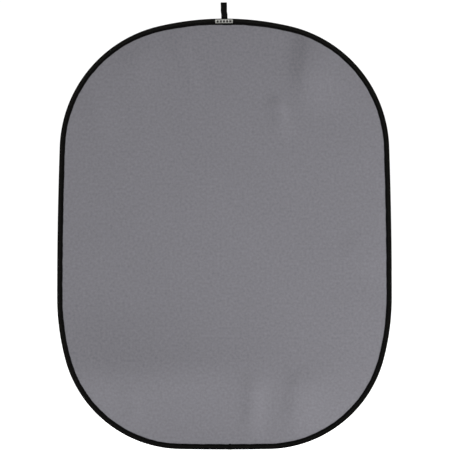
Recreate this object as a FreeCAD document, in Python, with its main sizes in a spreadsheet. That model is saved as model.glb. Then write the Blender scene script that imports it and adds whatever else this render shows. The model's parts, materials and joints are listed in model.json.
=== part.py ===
import FreeCAD, Part
import Sketcher
import math
import os
from FreeCAD import Placement, Rotation, Vector

# Collapsible twist-fold panel: two plies of cloth stretched in an oblong spring-steel hoop, bound with
# folded tape and hung from a webbing loop. Front face towards -Y, width along X, height along Z.
# The origin is the centre of the bend at the top of the loop, where a bar or hook bears.

driving = [
    ("rim_width", 1530, "overall width over the binding"),
    ("rim_height", 1970, "overall height over the binding"),
    ("rim_drop", 67.25, "from the loop's bearing centre down to the top of the rim"),
    ("widest_drop", 1273, "from the top of the rim down to the widest level"),
    ("top_radius", 1307, "domed top of the outline"),
    ("shoulder_radius", 586, "upper corners of the outline"),
    ("upper_side_radius", 20000, "nearly straight upper sides"),
    ("lower_side_radius", 1107, "lower sides"),
    ("foot_radius", 552, "lower corners of the outline"),
    ("bottom_radius", 10000, "nearly straight bottom"),
    ("tape_depth", 23.5, "binding, from its outer fold to its inner edge"),
    ("tape_wall", 0.7, "binding tape thickness"),
    ("fold_half", 5.2, "half thickness of the binding over the hoop"),
    ("edge_half", 3.8, "half width of the binding's flat outer edge"),
    ("edge_round", 1.2, "height of the chamfer beside that flat"),
    ("fold_depth", 4.2, "where the binding starts to taper"),
    ("taper_depth", 22.5, "where the taper ends in a thin lip"),
    ("lip_half", 1.3, "half thickness of the lip"),
    ("slit_half", 0.5, "half width of the slit that holds the cloth"),
    ("hoop_inset", 2.25, "outline to the outer face of the hoop"),
    ("hoop_thick", 1.2, "spring steel, radial"),
    ("hoop_wide", 7, "spring steel, front to back"),
    ("hoop_gap", 0.6, "between the butted ends of the hoop"),
    ("ply_inset", 9.5, "outline to the cut edge of the cloth"),
    ("ply_thick", 0.45, "one ply of cloth"),
    ("bend_count", 8, "bend lines across the panel"),
    ("bend_pitch", 150, "from one bend line to the next"),
    ("rim_trim", 1.15, "cleared each side of a bend line on binding and hoop"),
    ("ply_trim", 0.25, "cleared each side of a bend line on the cloth"),
    ("strap_wide", 28, "webbing width"),
    ("strap_thick", 1.5, "webbing thickness"),
    ("loop_radius", 5.25, "inside radius of the loop's top bend"),
    ("swing_rise", 6, "from the top of the rim up to the line the loop swings about"),
    ("swing_trim", 0.3, "from that line up to the foot of the loop"),
    ("pinch_rise", 2.5, "from the foot of the loop up to where its two legs part"),
    ("seat_gap", 0.1, "clearance under a piece that lies on the binding"),
    ("tack_wide", 25, "bartack across the pinched loop"),
    ("tack_tall", 1.8, "bartack height"),
    ("tack_thick", 0.5, "bartack thread build-up"),
    ("label_long", 81, "woven label, along the rim"),
    ("label_thick", 0.5, "woven label"),
    ("join_offset", 25, "joint of hoop and binding, to the right of the middle"),
    ("lap_long", 18, "overlap of the binding's two ends"),
    ("lap_proud", 4, "overlap standing in past the binding's inner edge"),
    ("sleeve_long", 60, "steel sleeve over the hoop's ends"),
    ("sleeve_gap", 0.05, "clearance round the hoop and round the sleeve"),
    ("sleeve_wall", 0.45, "steel sleeve"),
    ("wrap_long", 72, "shrunk wrap over the sleeve"),
    ("wrap_wall", 0.3, "shrunk wrap"),
    ("rivet_radius", 1.5, "rivets through sleeve and hoop"),
    ("rivet_reach", 15, "each rivet from the middle of the joint"),
    ("rivet_gap", 0.1, "radial clearance of the rivet holes"),
    ("block_deep", 40, "cutting blocks, front to back"),
    ("block_past", 100, "cutting blocks, past the edge of the panel"),
]

document = FreeCAD.newDocument("collapsible_panel")
sheet = document.addObject("Spreadsheet::Sheet", "dims")
for row, (alias, number, note) in enumerate(driving, 1):
    sheet.set(f"A{row}", note)
    sheet.set(f"B{row}", str(number))
    sheet.setAlias(f"B{row}", alias)
document.recompute()

facePlane = Placement(Vector(0, 0, 0), Rotation(Vector(1, 0, 0), 90))
sectionPlane = Placement(Vector(0, 0, 0), Rotation(Vector(0, 1, 0), Vector(0, 0, 1), Vector(1, 0, 0), "ZXY"))
nodes = []


def size(alias):
    """A driving dimension's number, in millimetres."""
    return float(sheet.get(alias))


def add(kind, name, **bound):
    """A document object whose properties are bound to expressions."""
    item = document.addObject(kind, name)
    for prop, expression in bound.items():
        item.setExpression(prop.replace("__", "."), expression)
    return item


def keep(item, label):
    """Marks an object as a finished sub-part under its own label."""
    item.Label = label
    nodes.append(item)
    return item


def circlesMeet(first, firstReach, second, secondReach):
    """The crossing, on the +X side, of two circles given by centre and radius."""
    dx, dz = second[0] - first[0], second[1] - first[1]
    apart = math.hypot(dx, dz)
    along = (firstReach ** 2 - secondReach ** 2 + apart ** 2) / (2 * apart)
    off = math.sqrt(firstReach ** 2 - along ** 2)
    crossings = [
        (first[0] + (along * dx - turn * off * dz) / apart, first[1] + (along * dz + turn * off * dx) / apart)
        for turn in (1, -1)
    ]
    return max(crossings)


def heading(start, end):
    """The angle of the line from one point to another, from +X."""
    return math.atan2(end[1] - start[1], end[0] - start[0])


def makeOutline():
    """The panel's outer edge: six tangent arcs each side, mirrored about the middle."""
    top = -size("rim_drop")
    widest = top - size("widest_drop")
    half = size("rim_width") / 2
    names = ["top_radius", "shoulder_radius", "upper_side_radius",
             "lower_side_radius", "foot_radius", "bottom_radius"]
    radius = {name: size(name) for name in names}
    crown = (0, top - radius["top_radius"])
    upperSide = (half - radius["upper_side_radius"], widest)
    lowerSide = (half - radius["lower_side_radius"], widest)
    base = (0, top - size("rim_height") + radius["bottom_radius"])
    shoulder = circlesMeet(crown, radius["top_radius"] - radius["shoulder_radius"],
                           upperSide, radius["upper_side_radius"] - radius["shoulder_radius"])
    foot = circlesMeet(base, radius["bottom_radius"] - radius["foot_radius"],
                       lowerSide, radius["lower_side_radius"] - radius["foot_radius"])
    centres = [crown, shoulder, upperSide, lowerSide, foot, base]
    turns = [math.pi / 2, heading(crown, shoulder), heading(upperSide, shoulder), 0,
             heading(lowerSide, foot), heading(base, foot), -math.pi / 2]

    placed = {
        0: ("0", "-dims.rim_drop - dims.top_radius"),
        2: ("dims.rim_width / 2 - dims.upper_side_radius", "-dims.rim_drop - dims.widest_drop"),
        3: ("dims.rim_width / 2 - dims.lower_side_radius", "-dims.rim_drop - dims.widest_drop"),
        5: ("0", "-dims.rim_drop - dims.rim_height + dims.bottom_radius"),
    }
    sketch = document.addObject("Sketcher::SketchObject", "outline")
    sketch.Placement = facePlane
    for side in (1, -1):
        first = 0 if side > 0 else len(names)
        upper, lower = (2, 1) if side > 0 else (1, 2)    # which end of each arc is the upper one
        for index, centre in enumerate(centres):
            low, high = turns[index + 1], turns[index]
            if side < 0:
                low, high = math.pi - high, math.pi - low
            middle = Vector(side * centre[0], centre[1], 0)
            circle = Part.Circle(middle, Vector(0, 0, 1), radius[names[index]])
            sketch.addGeometry(Part.ArcOfCircle(circle, low, high), False)
        for index in (0, 1, 3, 4):
            ends = (first + index, lower, first + index + 1, upper)
            sketch.addConstraint(Sketcher.Constraint("Tangent", *ends))
        for index, name in enumerate(names):
            made = sketch.addConstraint(Sketcher.Constraint("Radius", first + index, radius[name]))
            sketch.setExpression(f"Constraints[{made}]", f"dims.{name}")
        for index, (across, up) in placed.items():
            if across == "0":
                sketch.addConstraint(Sketcher.Constraint("PointOnObject", first + index, 3, -2))
            else:
                made = sketch.addConstraint(
                    Sketcher.Constraint("DistanceX", -1, 1, first + index, 3, side * centres[index][0]))
                sketch.setExpression(f"Constraints[{made}]", across if side > 0 else f"-({across})")
            made = sketch.addConstraint(
                Sketcher.Constraint("DistanceY", -1, 1, first + index, 3, centres[index][1]))
            sketch.setExpression(f"Constraints[{made}]", up)
        sketch.addConstraint(Sketcher.Constraint("PointOnObject", first, upper, -2))
        sketch.addConstraint(Sketcher.Constraint("PointOnObject", first + 5, lower, -2))
        sketch.addConstraint(Sketcher.Constraint("Horizontal", first + 2, lower, first + 2, 3))
        sketch.addConstraint(Sketcher.Constraint("Horizontal", first + 3, upper, first + 3, 3))
    return sketch


def makeSection(name, corners):
    """A closed section in the YZ plane, with each corner's (y, z) bound to a pair of expressions."""
    sketch = document.addObject("Sketcher::SketchObject", name)
    sketch.Placement = sectionPlane
    count = len(corners)
    ring = [Vector(10 * math.cos(2 * math.pi * k / count), 10 * math.sin(2 * math.pi * k / count), 0)
            for k in range(count)]
    for k in range(count):
        sketch.addGeometry(Part.LineSegment(ring[k], ring[(k + 1) % count]), False)
    for k in range(count):
        sketch.addConstraint(Sketcher.Constraint("Coincident", k, 2, (k + 1) % count, 1))
    for k, (across, up) in enumerate(corners):
        made = sketch.addConstraint(Sketcher.Constraint("DistanceX", -1, 1, k, 1, ring[k].x))
        sketch.setExpression(f"Constraints[{made}]", across)
        made = sketch.addConstraint(Sketcher.Constraint("DistanceY", -1, 1, k, 1, ring[k].y))
        sketch.setExpression(f"Constraints[{made}]", up)
    return sketch


def inset(name, source, distance, fill=False):
    """The outline moved inwards; filled, it is the band between the two."""
    item = add("Part::Offset2D", name, Value=f"-({distance})")
    item.Source = source
    item.Fill = fill
    return item


def extrude(name, source, direction, length, symmetric=True):
    """A closed outline drawn out into a solid, both ways or one way only."""
    item = add("Part::Extrusion", name, LengthFwd=length)
    item.Base = source
    item.DirMode = "Custom"
    item.Dir = direction
    item.Symmetric = symmetric
    item.Solid = True
    return item


def makeBand(name, outer, thick, wide):
    """A flat band that follows the outline: radial thickness, and width along Y."""
    edge = inset(f"{name}_edge", outline, outer)
    face = inset(f"{name}_face", edge, thick, fill=True)
    return extrude(f"{name}_band", face, Vector(0, 1, 0), wide)


def boolean(kind, name, base, tool):
    """A cut or a common of two objects."""
    item = document.addObject(kind, name)
    item.Base = base
    item.Tool = tool
    return item


def makeBlock(name, bottom, top, left="-dims.rim_width", right="dims.rim_width"):
    """A cutting block through the panel, from one height to another."""
    return add("Part::Box", name,
               Length=f"({right}) - ({left})", Width="dims.block_deep", Height=f"({top}) - ({bottom})",
               Placement__Base__x=left, Placement__Base__y="-dims.block_deep / 2", Placement__Base__z=bottom)


outline = makeOutline()

# Binding tape: folded over the hoop, tapering to a lip with a slit that grips the cloth.
rearHalf = [
    ("dims.edge_half", "-dims.rim_drop"),
    ("dims.fold_half", "-dims.rim_drop - dims.edge_round"),
    ("dims.fold_half", "-dims.rim_drop - dims.fold_depth"),
    ("dims.lip_half", "-dims.rim_drop - dims.taper_depth"),
    ("dims.lip_half", "-dims.rim_drop - dims.tape_depth"),
    ("dims.slit_half", "-dims.rim_drop - dims.tape_depth"),
    ("dims.slit_half", "-dims.rim_drop - dims.taper_depth"),
    ("dims.fold_half - dims.tape_wall", "-dims.rim_drop - dims.fold_depth"),
    ("dims.fold_half - dims.tape_wall", "-dims.rim_drop - dims.edge_round - dims.tape_wall / 4"),
    ("dims.edge_half - dims.tape_wall / 4", "-dims.rim_drop - dims.tape_wall"),
]
tapeSection = makeSection("tape_section", rearHalf + [(f"-({y})", z) for y, z in reversed(rearHalf)])
document.recompute()
binding = document.addObject("Part::Sweep", "binding_whole")
binding.Sections = [tapeSection]
binding.Spine = (outline, [f"Edge{k + 1}" for k in range(len(outline.Shape.Edges))])
binding.Solid = True

# Spring-steel hoop, with its two ends butted at the joint near the bottom.
hoopRing = makeBand("hoop", "dims.hoop_inset", "dims.hoop_thick", "dims.hoop_wide")
floor = "-dims.rim_drop - dims.rim_height"
hoopSplit = makeBlock("hoop_split", f"{floor} - dims.block_past", f"{floor} + dims.block_past",
                      "dims.join_offset - dims.hoop_gap / 2", "dims.join_offset + dims.hoop_gap / 2")
hoop = boolean("Part::Cut", "hoop_whole", hoopRing, hoopSplit)

# Two plies of cloth, back to back.
plyEdge = inset("ply_edge", outline, "dims.ply_inset")
frontPly = extrude("front_ply", plyEdge, Vector(0, -1, 0), "dims.ply_thick", symmetric=False)
rearPly = extrude("rear_ply", plyEdge, Vector(0, 1, 0), "dims.ply_thick", symmetric=False)

# The hoop's joint: steel sleeve, rivets and wrap, each following the outline.
rivetHoles = []
rivetPins = []
for side, word in ((-1, "left"), (1, "right")):
    for gap, made, name in (("dims.rivet_gap", rivetHoles, "hole"), ("0", rivetPins, "pin")):
        across = f"dims.join_offset + {side} * dims.rivet_reach"
        # the bottom arc rises by x squared over twice its radius
        rise = f"({across}) * ({across}) / (2 * dims.bottom_radius)"
        reach = "dims.hoop_thick + 2 * dims.sleeve_gap + 2 * dims.sleeve_wall"
        over = "3 * dims.rivet_gap" if name == "hole" else "0"
        pin = add("Part::Cylinder", f"rivet_{name}_{word}",
                  Radius=f"dims.rivet_radius + {gap}", Height=f"{reach} + 2 * {over}",
                  Placement__Base__x=across,
                  Placement__Base__z=f"{floor} + dims.hoop_inset - dims.sleeve_gap"
                                     f" - dims.sleeve_wall - {over} + {rise}")
        made.append(pin)
rivetTool = document.addObject("Part::MultiFuse", "rivet_holes")
rivetTool.Shapes = rivetHoles
rivetGroup = document.addObject("Part::Compound", "rivet_pair")
rivetGroup.Links = rivetPins

sleeveSpace = makeBand("sleeve_space", "dims.hoop_inset - dims.sleeve_gap",
                       "dims.hoop_thick + 2 * dims.sleeve_gap", "dims.hoop_wide + 2 * dims.sleeve_gap")
sleeveBody = makeBand("sleeve_body", "dims.hoop_inset - dims.sleeve_gap - dims.sleeve_wall",
                      "dims.hoop_thick + 2 * dims.sleeve_gap + 2 * dims.sleeve_wall",
                      "dims.hoop_wide + 2 * dims.sleeve_gap + 2 * dims.sleeve_wall")
wrapSpace = makeBand("wrap_space", "dims.hoop_inset - 2 * dims.sleeve_gap - dims.sleeve_wall",
                     "dims.hoop_thick + 4 * dims.sleeve_gap + 2 * dims.sleeve_wall",
                     "dims.hoop_wide + 4 * dims.sleeve_gap + 2 * dims.sleeve_wall")
wrapBody = makeBand("wrap_body", "dims.hoop_inset - 2 * dims.sleeve_gap - dims.sleeve_wall - dims.wrap_wall",
                    "dims.hoop_thick + 4 * dims.sleeve_gap + 2 * dims.sleeve_wall + 2 * dims.wrap_wall",
                    "dims.hoop_wide + 4 * dims.sleeve_gap + 2 * dims.sleeve_wall + 2 * dims.wrap_wall")


def makeJointCover(label, body, space, length):
    """A flat tube over the hoop's joint."""
    tube = boolean("Part::Cut", f"{label}_tube", body, space)
    cut = makeBlock(f"{label}_length", f"{floor} - dims.block_past", f"{floor} + dims.block_past",
                    f"dims.join_offset - {length} / 2", f"dims.join_offset + {length} / 2")
    return boolean("Part::Common", f"{label}_cut", tube, cut)


sleeve = makeJointCover("sleeve", sleeveBody, sleeveSpace, "dims.sleeve_long")
keep(boolean("Part::Cut", "sleeve_drilled", sleeve, rivetTool), "hoop_joint_sleeve")
keep(makeJointCover("wrap", wrapBody, wrapSpace, "dims.wrap_long"), "hoop_joint_wrap")
keep(rivetGroup, "hoop_joint_rivets")

# The panel is divided at its bend lines, from the top end down to the bottom end.
bendCount = int(size("bend_count"))
portions = ["top"] + [f"bend_{k}" for k in range(1, bendCount)] + ["bottom"]
middle = "-dims.rim_drop - dims.rim_height / 2"
firstBend = f"({middle}) + (dims.bend_count - 1) / 2 * dims.bend_pitch"
for index, portion in enumerate(portions):
    upper = f"({firstBend}) - {index - 1} * dims.bend_pitch"
    lower = f"({firstBend}) - {index} * dims.bend_pitch"
    for kind, trim in (("rim", "dims.rim_trim"), ("ply", "dims.ply_trim")):
        high = "-dims.rim_drop + dims.block_past" if index == 0 else f"{upper} - {trim}"
        low = f"{floor} - dims.block_past" if index == bendCount else f"{lower} + {trim}"
        slab = makeBlock(f"{kind}_slab_{index}", low, high)
        if kind == "rim":
            keep(boolean("Part::Common", f"binding_{index}", binding, slab), f"binding_{portion}")
            steel = boolean("Part::Common", f"hoop_{index}", hoop, slab)
            if portion == "bottom":
                steel = boolean("Part::Cut", "hoop_drilled", steel, rivetTool)
            keep(steel, f"hoop_{portion}")
        else:
            keep(boolean("Part::Common", f"front_{index}", frontPly, slab), f"front_cloth_{portion}")
            keep(boolean("Part::Common", f"rear_{index}", rearPly, slab), f"rear_cloth_{portion}")

# Lapped ends of the binding: one more turn of tape over the joint, standing in past the inner edge.
lapHalf = [
    ("dims.edge_half + dims.seat_gap", f"{floor} - dims.seat_gap"),
    ("dims.fold_half + dims.seat_gap", f"{floor} + dims.edge_round"),
    ("dims.fold_half + dims.seat_gap", f"{floor} + dims.fold_depth"),
    ("dims.lip_half + dims.seat_gap", f"{floor} + dims.taper_depth"),
    ("dims.lip_half + dims.seat_gap", f"{floor} + dims.tape_depth + dims.lap_proud"),
    ("dims.lip_half + dims.seat_gap + dims.tape_wall", f"{floor} + dims.tape_depth + dims.lap_proud"),
    ("dims.lip_half + dims.seat_gap + dims.tape_wall", f"{floor} + dims.taper_depth"),
    ("dims.fold_half + dims.seat_gap + dims.tape_wall", f"{floor} + dims.fold_depth"),
    ("dims.fold_half + dims.seat_gap + dims.tape_wall", f"{floor} + dims.edge_round - dims.tape_wall / 4"),
    ("dims.edge_half + dims.tape_wall / 4", f"{floor} - dims.seat_gap - dims.tape_wall"),
]
lapSection = makeSection("lap_section", lapHalf + [(f"-({y})", z) for y, z in reversed(lapHalf)])
lap = keep(extrude("lap", lapSection, Vector(1, 0, 0), "dims.lap_long"), "binding_lap")
lap.setExpression("Placement.Base.x", "dims.join_offset")

# Woven label on the front of the binding, turned about the centre of the domed top.
labelTop, labelFoot = "-dims.rim_drop - dims.fold_depth", "-dims.rim_drop - dims.taper_depth"
labelSection = makeSection("label_section", [
    ("-dims.fold_half - dims.seat_gap", labelTop),
    ("-dims.lip_half - dims.seat_gap", labelFoot),
    ("-dims.lip_half - dims.seat_gap - dims.label_thick", labelFoot),
    ("-dims.fold_half - dims.seat_gap - dims.label_thick", labelTop),
])
label = add("Part::Revolution", "label", Angle="dims.label_long / dims.top_radius * 180 / pi",
            Base__z="-dims.rim_drop - dims.top_radius")
label.Source = labelSection
label.Axis = Vector(0, 1, 0)
label.Symmetric = True
label.Solid = True
keep(label, "woven_label")

# Sewn ends of the loop's webbing, two plies together: over the top of the rim and down its rear face.
tailTop = "-dims.rim_drop + dims.seat_gap + 2 * dims.strap_thick"
tailSection = makeSection("tail_section", [
    ("-dims.strap_thick", "-dims.rim_drop + dims.seat_gap"),
    ("-dims.strap_thick", tailTop),
    ("dims.edge_half", tailTop),
    ("dims.fold_half + dims.seat_gap + 2 * dims.strap_thick", "-dims.rim_drop - dims.edge_round"),
    ("dims.fold_half + dims.seat_gap + 2 * dims.strap_thick", labelTop),
    ("dims.lip_half + dims.seat_gap + 2 * dims.strap_thick", labelFoot),
    ("dims.lip_half + dims.seat_gap", labelFoot),
    ("dims.fold_half + dims.seat_gap", labelTop),
    ("dims.fold_half + dims.seat_gap", "-dims.rim_drop - dims.edge_round"),
    ("dims.edge_half + dims.seat_gap", "-dims.rim_drop + dims.seat_gap"),
])
keep(extrude("tail", tailSection, Vector(1, 0, 0), "dims.strap_wide"), "loop_tail")


def makeLoopEdge(name, radius, footHalf, footLevel):
    """One edge of the loop seen from its side: an arc over the top and two tangent legs to the foot."""
    sketch = document.addObject("Sketcher::SketchObject", name)
    sketch.Placement = sectionPlane
    start = size("loop_radius")
    level = -size("rim_drop")
    half = size("strap_thick")
    circle = Part.Circle(Vector(0, 0, 0), Vector(0, 0, 1), start)
    arc = sketch.addGeometry(Part.ArcOfCircle(circle, 0, math.pi), False)
    right = sketch.addGeometry(Part.LineSegment(Vector(start, 0, 0), Vector(half, level, 0)), False)
    left = sketch.addGeometry(Part.LineSegment(Vector(-start, 0, 0), Vector(-half, level, 0)), False)
    sketch.addConstraint(Sketcher.Constraint("Coincident", arc, 3, -1, 1))
    sketch.addConstraint(Sketcher.Constraint("Tangent", arc, 1, right, 1))
    sketch.addConstraint(Sketcher.Constraint("Tangent", arc, 2, left, 1))
    made = sketch.addConstraint(Sketcher.Constraint("Radius", arc, start))
    sketch.setExpression(f"Constraints[{made}]", radius)
    made = sketch.addConstraint(Sketcher.Constraint("DistanceY", -1, 1, right, 2, level))
    sketch.setExpression(f"Constraints[{made}]", footLevel)
    if footHalf:
        foot = sketch.addGeometry(Part.LineSegment(Vector(half, level, 0), Vector(-half, level, 0)), False)
        sketch.addConstraint(Sketcher.Constraint("Coincident", foot, 1, right, 2))
        sketch.addConstraint(Sketcher.Constraint("Coincident", foot, 2, left, 2))
        sketch.addConstraint(Sketcher.Constraint("Horizontal", foot))
        made = sketch.addConstraint(Sketcher.Constraint("DistanceX", -1, 1, right, 2, half))
        sketch.setExpression(f"Constraints[{made}]", footHalf)
        made = sketch.addConstraint(Sketcher.Constraint("DistanceX", left, 2, -1, 1, half))
        sketch.setExpression(f"Constraints[{made}]", footHalf)
    else:
        sketch.addConstraint(Sketcher.Constraint("Coincident", right, 2, left, 2))
        sketch.addConstraint(Sketcher.Constraint("PointOnObject", right, 2, -2))
    return sketch


# Hanging loop: webbing that stands up from the rim, bends over a bar and comes down again.
loopFoot = "-dims.rim_drop + dims.swing_rise + dims.swing_trim"
outerEdge = makeLoopEdge("loop_outer", "dims.loop_radius + dims.strap_thick", "dims.strap_thick", loopFoot)
innerEdge = makeLoopEdge("loop_inner", "dims.loop_radius", None, f"{loopFoot} + dims.pinch_rise")
loopBlock = extrude("loop_block", outerEdge, Vector(1, 0, 0), "dims.strap_wide")
loopHollow = extrude("loop_hollow", innerEdge, Vector(1, 0, 0), "2 * dims.strap_wide")
keep(boolean("Part::Cut", "loop", loopBlock, loopHollow), "hanging_loop")

# Bartack across the pinched foot of the loop, one bar of thread on each face.
tacks = []
for side, word in ((-1, "front"), (1, "rear")):
    middleOut = f"{side} * (dims.strap_thick + 4 * dims.seat_gap + dims.tack_thick / 2)"
    tacks.append(add("Part::Box", f"tack_{word}",
                     Length="dims.tack_wide", Width="dims.tack_thick", Height="dims.tack_tall",
                     Placement__Base__x="-dims.tack_wide / 2",
                     Placement__Base__y=f"{middleOut} - dims.tack_thick / 2",
                     Placement__Base__z=f"{loopFoot} + dims.tack_thick"))
tackPair = document.addObject("Part::Compound", "tack_pair")
tackPair.Links = tacks
keep(tackPair, "loop_bartack")

document.recompute()
for item in document.Objects:
    if "Invalid" in item.State or "Error" in item.State:
        raise RuntimeError(f"{item.Label} failed: {item.State}")
for item in nodes:
    if item.Shape.isNull() or not item.Shape.isValid() or not item.Shape.Solids:
        raise RuntimeError(f"{item.Label} has no sound solid")

os.makedirs("parts", exist_ok=True)
for item in nodes:
    item.Shape.exportStep(f"parts/{item.Label}.step")
    box = item.Shape.BoundBox
    spans = [f"{low:9.2f} {high:9.2f}" for low, high in
             ((box.XMin, box.XMax), (box.YMin, box.YMax), (box.ZMin, box.ZMax))]
    print(f"{item.Label:22s} {len(item.Shape.Solids)} solids {item.Shape.Volume:12.1f} mm3", *spans)
print(len(nodes), "nodes")
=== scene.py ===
import json
import math
import bpy
import numpy as np
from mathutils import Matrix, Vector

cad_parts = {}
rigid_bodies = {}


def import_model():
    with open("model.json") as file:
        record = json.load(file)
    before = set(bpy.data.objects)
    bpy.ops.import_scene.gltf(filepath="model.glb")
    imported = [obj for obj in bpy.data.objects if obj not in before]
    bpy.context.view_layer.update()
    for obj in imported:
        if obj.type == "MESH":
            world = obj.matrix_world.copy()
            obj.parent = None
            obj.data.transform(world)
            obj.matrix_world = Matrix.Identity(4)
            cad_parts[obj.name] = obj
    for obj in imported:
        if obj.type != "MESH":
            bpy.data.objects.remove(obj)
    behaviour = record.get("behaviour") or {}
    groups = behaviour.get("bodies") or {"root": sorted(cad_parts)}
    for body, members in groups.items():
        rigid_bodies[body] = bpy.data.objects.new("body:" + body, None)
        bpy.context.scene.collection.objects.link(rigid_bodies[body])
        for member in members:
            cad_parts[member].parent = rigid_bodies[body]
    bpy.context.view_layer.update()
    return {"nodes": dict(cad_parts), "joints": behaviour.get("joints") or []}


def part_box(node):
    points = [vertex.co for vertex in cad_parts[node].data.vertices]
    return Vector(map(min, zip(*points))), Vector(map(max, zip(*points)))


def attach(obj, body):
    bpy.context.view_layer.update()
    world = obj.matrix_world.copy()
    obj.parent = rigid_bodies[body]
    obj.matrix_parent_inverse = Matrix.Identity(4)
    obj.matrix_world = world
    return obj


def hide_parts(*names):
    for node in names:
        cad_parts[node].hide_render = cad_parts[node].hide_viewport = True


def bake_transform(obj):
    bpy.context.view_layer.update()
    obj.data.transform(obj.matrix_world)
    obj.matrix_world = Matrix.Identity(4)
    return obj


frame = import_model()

mm = 0.001

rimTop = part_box("binding_top")[1].z
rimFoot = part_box("binding_bottom")[0].z
rimHalf = max(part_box(f"binding_bend_{k}")[1].x for k in range(1, 8))
bends = [joint for joint in frame["joints"] if joint["name"].startswith("frame_bend")]
bendLevels = [joint["pos_m"][2] for joint in bends]
bendPitch = bendLevels[0] - bendLevels[1]
swing = next(joint for joint in frame["joints"] if joint["name"] == "loop_swing")
swingLevel = swing["pos_m"][2]
portions = ["top"] + [f"bend_{k}" for k in range(1, len(bends))] + ["bottom"]

# the outline: tangent arcs, from the middle of the top round the right side to the middle of the bottom
outline = {
    "widestDrop": 1273 * mm,         # top of the rim to its widest level
    "topRadius": 1307 * mm,
    "shoulderRadius": 586 * mm,
    "upperSideRadius": 20000 * mm,
    "lowerSideRadius": 1107 * mm,
    "footRadius": 552 * mm,
    "bottomRadius": 10000 * mm,
}


def circlesMeet(first, firstReach, second, secondReach):
    # the crossing on the +X side of two circles given by centre and radius
    gap = np.subtract(second, first)
    apart = math.hypot(*gap)
    along = (firstReach ** 2 - secondReach ** 2 + apart ** 2) / (2 * apart)
    off = math.sqrt(firstReach ** 2 - along ** 2)
    step = gap / apart
    crossings = [first + along * step + turn * off * np.array([-step[1], step[0]]) for turn in (1, -1)]
    return max(crossings, key=lambda point: point[0])


def makeArcs():
    # each row is an arc: centre x, centre z, radius and the headings at its two ends, clockwise from the top
    drop, *radii = outline.values()
    widest = rimTop - drop
    crown = np.array([0, rimTop - radii[0]])
    upper = np.array([rimHalf - radii[2], widest])
    lower = np.array([rimHalf - radii[3], widest])
    base = np.array([0, rimFoot + radii[5]])
    shoulder = circlesMeet(crown, radii[0] - radii[1], upper, radii[2] - radii[1])
    foot = circlesMeet(base, radii[5] - radii[4], lower, radii[3] - radii[4])

    def heading(start, end):                 # angle of the line from start to end, from +X towards +Z
        return math.atan2(end[1] - start[1], end[0] - start[0])

    turns = [math.pi / 2, heading(crown, shoulder), heading(upper, shoulder), 0,
             heading(lower, foot), heading(base, foot), -math.pi / 2]
    centres = [crown, shoulder, upper, lower, foot, base]
    right = [[c[0], c[1], r, turns[k], turns[k + 1]] for k, (c, r) in enumerate(zip(centres, radii))]
    left = [[-c[0], c[1], r, math.pi - turns[k + 1], math.pi - turns[k]]
            for k, (c, r) in reversed(list(enumerate(zip(centres, radii))))]
    for row in left:                 # headings on the left go on turning clockwise from the bottom
        row[3] -= 2 * math.pi
        row[4] -= 2 * math.pi
    return np.array(right + left)


arcs = makeArcs()
arcLengths = arcs[:, 2] * (arcs[:, 3] - arcs[:, 4])
arcStarts = np.concatenate([[0], np.cumsum(arcLengths)])
rimLength = arcStarts[-1]


def rimPoint(s):
    # point on the outline at distance s clockwise from the top, and the outward normal there
    s = np.mod(s, rimLength)
    which = np.clip(np.searchsorted(arcStarts, s, side="right") - 1, 0, len(arcs) - 1)
    cx, cz, r, start, _ = np.moveaxis(arcs[which], -1, 0)
    angle = start - (s - arcStarts[which]) / r
    normal = np.stack([np.cos(angle), np.sin(angle)], -1)
    return np.stack([cx, cz], -1) + r[..., None] * normal, normal


def inFrom(s, depth, y):
    # points in space: at s round the outline, depth in from it along its normal, and y from front to back
    point, normal = rimPoint(s)
    flat = point - depth[..., None] * normal
    return np.stack(np.broadcast_arrays(flat[..., 0], y, flat[..., 1]), -1)


def edgeDistance(x, z):
    # distance from points to the nearest place on the outline, and that place's distance round the rim
    best = np.full(x.shape, np.inf)
    place = np.zeros(x.shape)
    for k, (cx, cz, r, start, end) in enumerate(arcs):
        angle = np.arctan2(z - cz, x - cx)
        angle = angle - 2 * np.pi * np.round((angle - (start + end) / 2) / (2 * np.pi))
        angle = np.clip(angle, end, start)
        gap = np.hypot(cx + r * np.cos(angle) - x, cz + r * np.sin(angle) - z)
        near = gap < best
        best = np.where(near, gap, best)
        place = np.where(near, arcStarts[k] + r * (start - angle), place)
    return best, place


# the panel is made in eight lengths, parted half way between bend lines, so that each crosses one bend
cutLevels = [level - bendPitch / 2 for level in bendLevels[:-1]]
fine = np.linspace(0, rimLength / 2, 20001)
fineLevels = rimPoint(fine)[0][:, 1]
cutPlaces = [float(np.interp(-level, -fineLevels, fine)) for level in cutLevels]
bodyChain = [bends[0]["parent"]] + [joint["child"] for joint in bends]


def crossBend(piece):
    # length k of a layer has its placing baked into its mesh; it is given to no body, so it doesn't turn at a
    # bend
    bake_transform(piece)


def rimSpans(k):
    # where length k runs along the rim: over the top, down both sides, or round the bottom
    if k == 0:
        return [(-cutPlaces[0], cutPlaces[0])]
    if k == len(cutPlaces):
        return [(cutPlaces[-1], rimLength - cutPlaces[-1])]
    right = (cutPlaces[k - 1], cutPlaces[k])
    return [right, (rimLength - right[1], rimLength - right[0])]


print("outline", round(rimLength, 3), "m round the rim")


def smooth(t):
    # a smooth step: three t squared less two t cubed, with t kept between nought and one
    t = np.clip(t, 0, 1)
    return t * t * (3 - 2 * t)


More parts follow.
